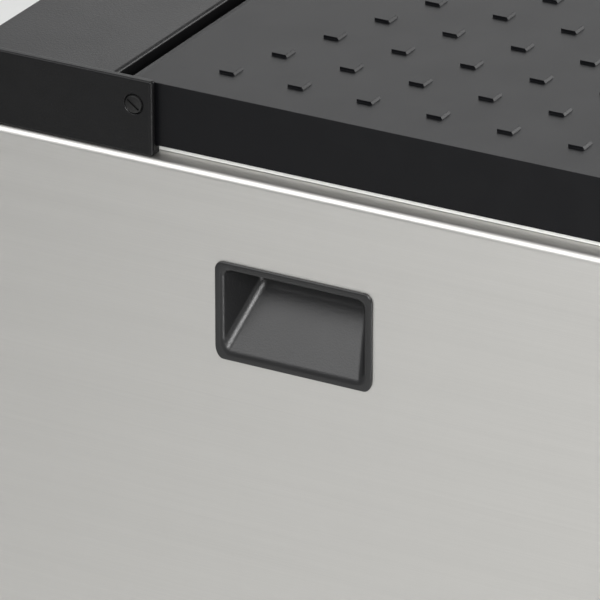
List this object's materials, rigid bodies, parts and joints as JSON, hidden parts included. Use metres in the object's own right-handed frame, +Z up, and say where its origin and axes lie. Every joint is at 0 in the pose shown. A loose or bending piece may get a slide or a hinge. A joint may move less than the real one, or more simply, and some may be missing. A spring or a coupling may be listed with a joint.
{
  "type": "trash compactor",
  "caption": "Free-standing trash compactor with steel walls, a pull-out drawer, a screw-driven ram, moulded side grips and a hinged black lid over a shallow bay.",
  "frame": {"origin": "centre of the footprint on the floor", "axes": "+Z up, -Y towards the person who opens the drawer, +X to the right of a person who stands facing the drawer front"},
  "size_m": [0.381, 0.61, 0.87],
  "materials": {
    "brushed_steel": "fine horizontal brushing, warm light grey, satin",
    "handle_steel": "satin tube",
    "black_plastic": "satin black moulding with a fine grain",
    "lid_plastic": "satin black moulding with a fine grain and raised square pads",
    "black_screw": "black oxide slotted screw",
    "grey_plastic": "matt mid grey",
    "bin_plastic": "matt grey moulding with light scuffs",
    "white_plastic": "satin white moulding",
    "red_plastic": "gloss red",
    "bag_film": "rolled translucent film",
    "charcoal": "granular filter behind a slotted cover",
    "painted_steel": "dark grey powder coat",
    "zinc_steel": "zinc plated sheet",
    "ram_steel": "pressed steel, worn",
    "drive_steel": "greased machined steel",
    "bronze": "sintered bronze",
    "rubber": "matt black rubber"
  },
  "bodies": {
    "cabinet": {"base_plate": "painted_steel", "left_side_panel": "brushed_steel", "right_side_panel": "brushed_steel", "rear_panel": "zinc_steel", "left_front_upright": "painted_steel", "right_front_upright": "painted_steel", "left_rear_upright": "painted_steel", "right_rear_upright": "painted_steel", "top_deck": "painted_steel", "left_upper_bearing": "bronze", "right_upper_bearing": "bronze", "bay_tray": "grey_plastic", "top_collar": "white_plastic", "lid_gasket": "rubber", "rear_rail": "black_plastic", "left_hinge_cheek": "black_plastic", "right_hinge_cheek": "black_plastic", "left_hinge_screw": "black_screw", "right_hinge_screw": "black_screw", "left_grip_cup": "black_plastic", "right_grip_cup": "black_plastic", "console_panel": "black_plastic", "control_box": "grey_plastic", "indicator_lamp": "red_plastic", "toe_plate": "painted_steel", "front_left_foot": "rubber", "front_right_foot": "rubber", "rear_left_foot": "rubber", "rear_right_foot": "rubber", "left_drawer_track": "zinc_steel", "right_drawer_track": "zinc_steel", "gearbox": "painted_steel", "motor": "painted_steel", "drive_chain": "drive_steel", "power_inlet": "black_plastic", "charcoal_filter": "charcoal", "bag_roll": "bag_film"},
    "lid": {"lid_shell": "lid_plastic", "lid_liner": "grey_plastic"},
    "drawer": {"drawer_front": "brushed_steel", "drawer_core": "grey_plastic", "drawer_handle": "handle_steel", "drawer_frame": "zinc_steel", "bin_bucket": "bin_plastic"},
    "ram": {"ram_plate": "ram_steel", "ram_frame": "painted_steel", "left_power_nut": "bronze", "right_power_nut": "bronze"},
    "left_screw": {"left_power_screw": "drive_steel"},
    "right_screw": {"right_power_screw": "drive_steel"},
    "motor_drive": {"motor_sprocket": "drive_steel"},
    "left_rear_wheel": {"left_rear_roller": "white_plastic"},
    "right_rear_wheel": {"right_rear_roller": "white_plastic"},
    "left_front_wheel": {"left_front_roller": "white_plastic"},
    "right_front_wheel": {"right_front_roller": "white_plastic"},
    "pedal": {"foot_pedal": "black_plastic"},
    "start": {"start_button": "white_plastic"},
    "stop": {"stop_button": "red_plastic"},
    "key": {"key_knob": "zinc_steel"}
  },
  "joints": [
    {"name": "lid_hinge", "type": "hinge", "parent": "cabinet", "child": "lid", "pos_m": [0, 0.184, 0.853], "axis": [-1, 0, 0], "range_deg": [0, 97]},
    {"name": "drawer_slide", "type": "slide", "parent": "cabinet", "child": "drawer", "axis": [0, -1, 0], "range_m": [0, 0.42]},
    {"name": "ram_slide", "type": "slide", "parent": "cabinet", "child": "ram", "axis": [0, 0, 1], "range_m": [-0.235, 0]},
    {"name": "left_screw_spin", "type": "hinge", "parent": "cabinet", "child": "left_screw", "pos_m": [-0.1665, -0.04, 0.4], "axis": [0, 0, 1], "continuous": true},
    {"name": "right_screw_spin", "type": "hinge", "parent": "cabinet", "child": "right_screw", "pos_m": [0.1665, -0.04, 0.4], "axis": [0, 0, 1], "continuous": true},
    {"name": "motor_spin", "type": "hinge", "parent": "cabinet", "child": "motor_drive", "pos_m": [0, 0.24, 0.03], "axis": [0, 0, 1], "continuous": true},
    {"name": "left_rear_wheel_spin", "type": "hinge", "parent": "drawer", "child": "left_rear_wheel", "pos_m": [-0.1115, 0.25, 0.0523], "axis": [1, 0, 0], "continuous": true},
    {"name": "right_rear_wheel_spin", "type": "hinge", "parent": "drawer", "child": "right_rear_wheel", "pos_m": [0.1115, 0.25, 0.0523], "axis": [1, 0, 0], "continuous": true},
    {"name": "left_front_wheel_spin", "type": "hinge", "parent": "cabinet", "child": "left_front_wheel", "pos_m": [-0.136, -0.2155, 0.056], "axis": [1, 0, 0], "continuous": true},
    {"name": "right_front_wheel_spin", "type": "hinge", "parent": "cabinet", "child": "right_front_wheel", "pos_m": [0.136, -0.2155, 0.056], "axis": [1, 0, 0], "continuous": true},
    {"name": "pedal_hinge", "type": "hinge", "parent": "cabinet", "child": "pedal", "pos_m": [0, -0.2425, 0.053], "axis": [1, 0, 0], "range_deg": [0, 10], "stiffness_Nm_per_rad": 2, "springref_deg": -5.16},
    {"name": "start_press", "type": "slide", "parent": "cabinet", "child": "start", "axis": [0, 1, 0], "range_m": [0, 0.0025], "stiffness_N_per_m": 400},
    {"name": "stop_press", "type": "slide", "parent": "cabinet", "child": "stop", "axis": [0, 1, 0], "range_m": [0, 0.0025], "stiffness_N_per_m": 400},
    {"name": "key_turn", "type": "hinge", "parent": "cabinet", "child": "key", "pos_m": [-0.085, -0.265, 0.745], "axis": [0, 1, 0], "range_deg": [0, 90]}
  ],
  "couplings": [
    {"joint": "left_screw_spin", "follows": "ram_slide", "rad_per_m": -628.32},
    {"joint": "right_screw_spin", "follows": "ram_slide", "rad_per_m": -628.32},
    {"joint": "motor_spin", "follows": "ram_slide", "rad_per_m": -628.32},
    {"joint": "left_rear_wheel_spin", "follows": "drawer_slide", "rad_per_m": 100},
    {"joint": "right_rear_wheel_spin", "follows": "drawer_slide", "rad_per_m": 100},
    {"joint": "left_front_wheel_spin", "follows": "drawer_slide", "rad_per_m": 83.333},
    {"joint": "right_front_wheel_spin", "follows": "drawer_slide", "rad_per_m": 83.333}
  ]
}
